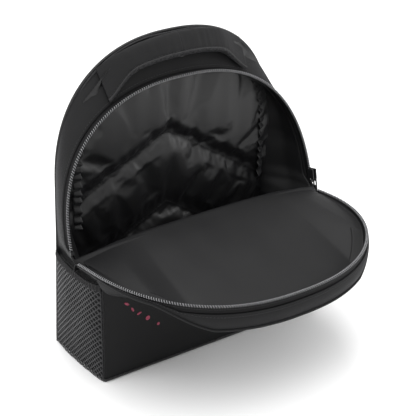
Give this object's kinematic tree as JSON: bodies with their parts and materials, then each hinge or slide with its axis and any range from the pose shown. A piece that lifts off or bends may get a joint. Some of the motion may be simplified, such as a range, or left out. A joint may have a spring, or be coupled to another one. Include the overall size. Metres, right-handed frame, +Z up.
{
  "type": "backpack",
  "caption": "Arch-topped day backpack, opened: fold-down front flap with a zipped rim, quilted back lining, mesh side pockets, haul handle and padded shoulder straps.",
  "frame": {"origin": "centre of the underside of the base", "axes": "+Z up, +Y from the front panel to the back panel, +X to the right as seen from the front"},
  "size_m": [0.3641, 0.3309, 0.3867],
  "materials": {
    "oxford": "black oxford weave",
    "satin_panel": "smooth satin-faced polyester",
    "lining": "satin lining with soft sheen",
    "air_mesh": "spacer mesh",
    "pocket_net": "open net",
    "foam": "closed-cell foam",
    "board": "smooth",
    "zip_tape": "woven tape",
    "zip_coil": "satin nylon coil",
    "zip_metal": "black painted",
    "webbing": "ribbed webbing",
    "buckle": "moulded acetal",
    "binding": "ribbed binding tape",
    "elastic": "covered elastic"
  },
  "bodies": {
    "body": {"base_panel": "oxford", "base_board": "board", "base_lining": "lining", "rear_gusset": "oxford", "rear_gusset_lining": "lining", "side_panel_right": "oxford", "side_panel_left": "oxford", "side_lining_right": "lining", "side_lining_left": "lining", "front_panel": "satin_panel", "front_lining": "lining", "back_panel": "air_mesh", "back_foam": "foam", "back_lining": "lining", "back_binding": "binding", "body_zip_coil": "zip_coil", "body_zip_tape": "zip_tape", "zip_stops": "zip_metal", "strap_yoke": "oxford", "pocket_mesh_right": "pocket_net", "pocket_hem_right": "oxford", "pocket_elastic_right": "elastic", "strap_anchor_right": "oxford", "pocket_mesh_left": "pocket_net", "pocket_hem_left": "oxford", "pocket_elastic_left": "elastic", "strap_anchor_left": "oxford"},
    "flap": {"flap_panel": "satin_panel", "flap_lining": "lining", "flap_zip_coil": "zip_coil", "flap_zip_tape": "zip_tape", "flap_gusset": "oxford", "flap_gusset_lining": "lining"},
    "slider": {"zip_slider": "zip_metal"},
    "pull": {"zip_pull": "zip_metal"},
    "handle": {"handle_mesh": "air_mesh", "handle_foam": "foam", "handle_cover": "oxford"},
    "strap_right": {"strap_cover_right": "oxford", "strap_foam_right": "foam", "strap_mesh_right": "air_mesh", "strap_head_right": "webbing", "strap_loop_right": "webbing", "strap_buckle_right": "buckle", "strap_webbing_right": "webbing"},
    "tail_right": {"strap_tail_right": "webbing"},
    "strap_left": {"strap_cover_left": "oxford", "strap_foam_left": "foam", "strap_mesh_left": "air_mesh", "strap_head_left": "webbing", "strap_loop_left": "webbing", "strap_buckle_left": "buckle", "strap_webbing_left": "webbing"},
    "tail_left": {"strap_tail_left": "webbing"}
  },
  "joints": [
    {"name": "flap_fold", "type": "hinge", "parent": "body", "child": "flap", "pos_m": [0, -0.0195, 0.154], "axis": [-1, 0, 0], "range_deg": [0, 103]},
    {"name": "zip_travel", "type": "slide", "parent": "body", "child": "slider", "axis": [0, 0.225, 0.9744], "range_m": [0, 0.012]},
    {"name": "pull_swing", "type": "hinge", "parent": "slider", "child": "pull", "pos_m": [0.1819, -0.01556, 0.17105], "axis": [0, -0.9744, 0.225], "range_deg": [0, 110]},
    {"name": "strap_right_swing", "type": "hinge", "parent": "body", "child": "strap_right", "pos_m": [0.042, 0.0625, 0.338], "axis": [0.2571, 0, -0.9664], "range_deg": [-30, 30]},
    {"name": "tail_right_swing", "type": "hinge", "parent": "strap_right", "child": "tail_right", "pos_m": [0.10714, 0.1077, 0.09313], "axis": [1, 0, 0], "range_deg": [0, 60]},
    {"name": "strap_left_swing", "type": "hinge", "parent": "body", "child": "strap_left", "pos_m": [-0.042, 0.0625, 0.338], "axis": [-0.2571, 0, -0.9664], "range_deg": [-30, 30]},
    {"name": "tail_left_swing", "type": "hinge", "parent": "strap_left", "child": "tail_left", "pos_m": [-0.10714, 0.1077, 0.09313], "axis": [1, 0, 0], "range_deg": [0, 60]},
    {"name": "handle_lift", "type": "hinge", "parent": "body", "child": "handle", "pos_m": [0, 0.0415, 0.335], "axis": [1, 0, 0], "range_deg": [0, 45]}
  ]
}
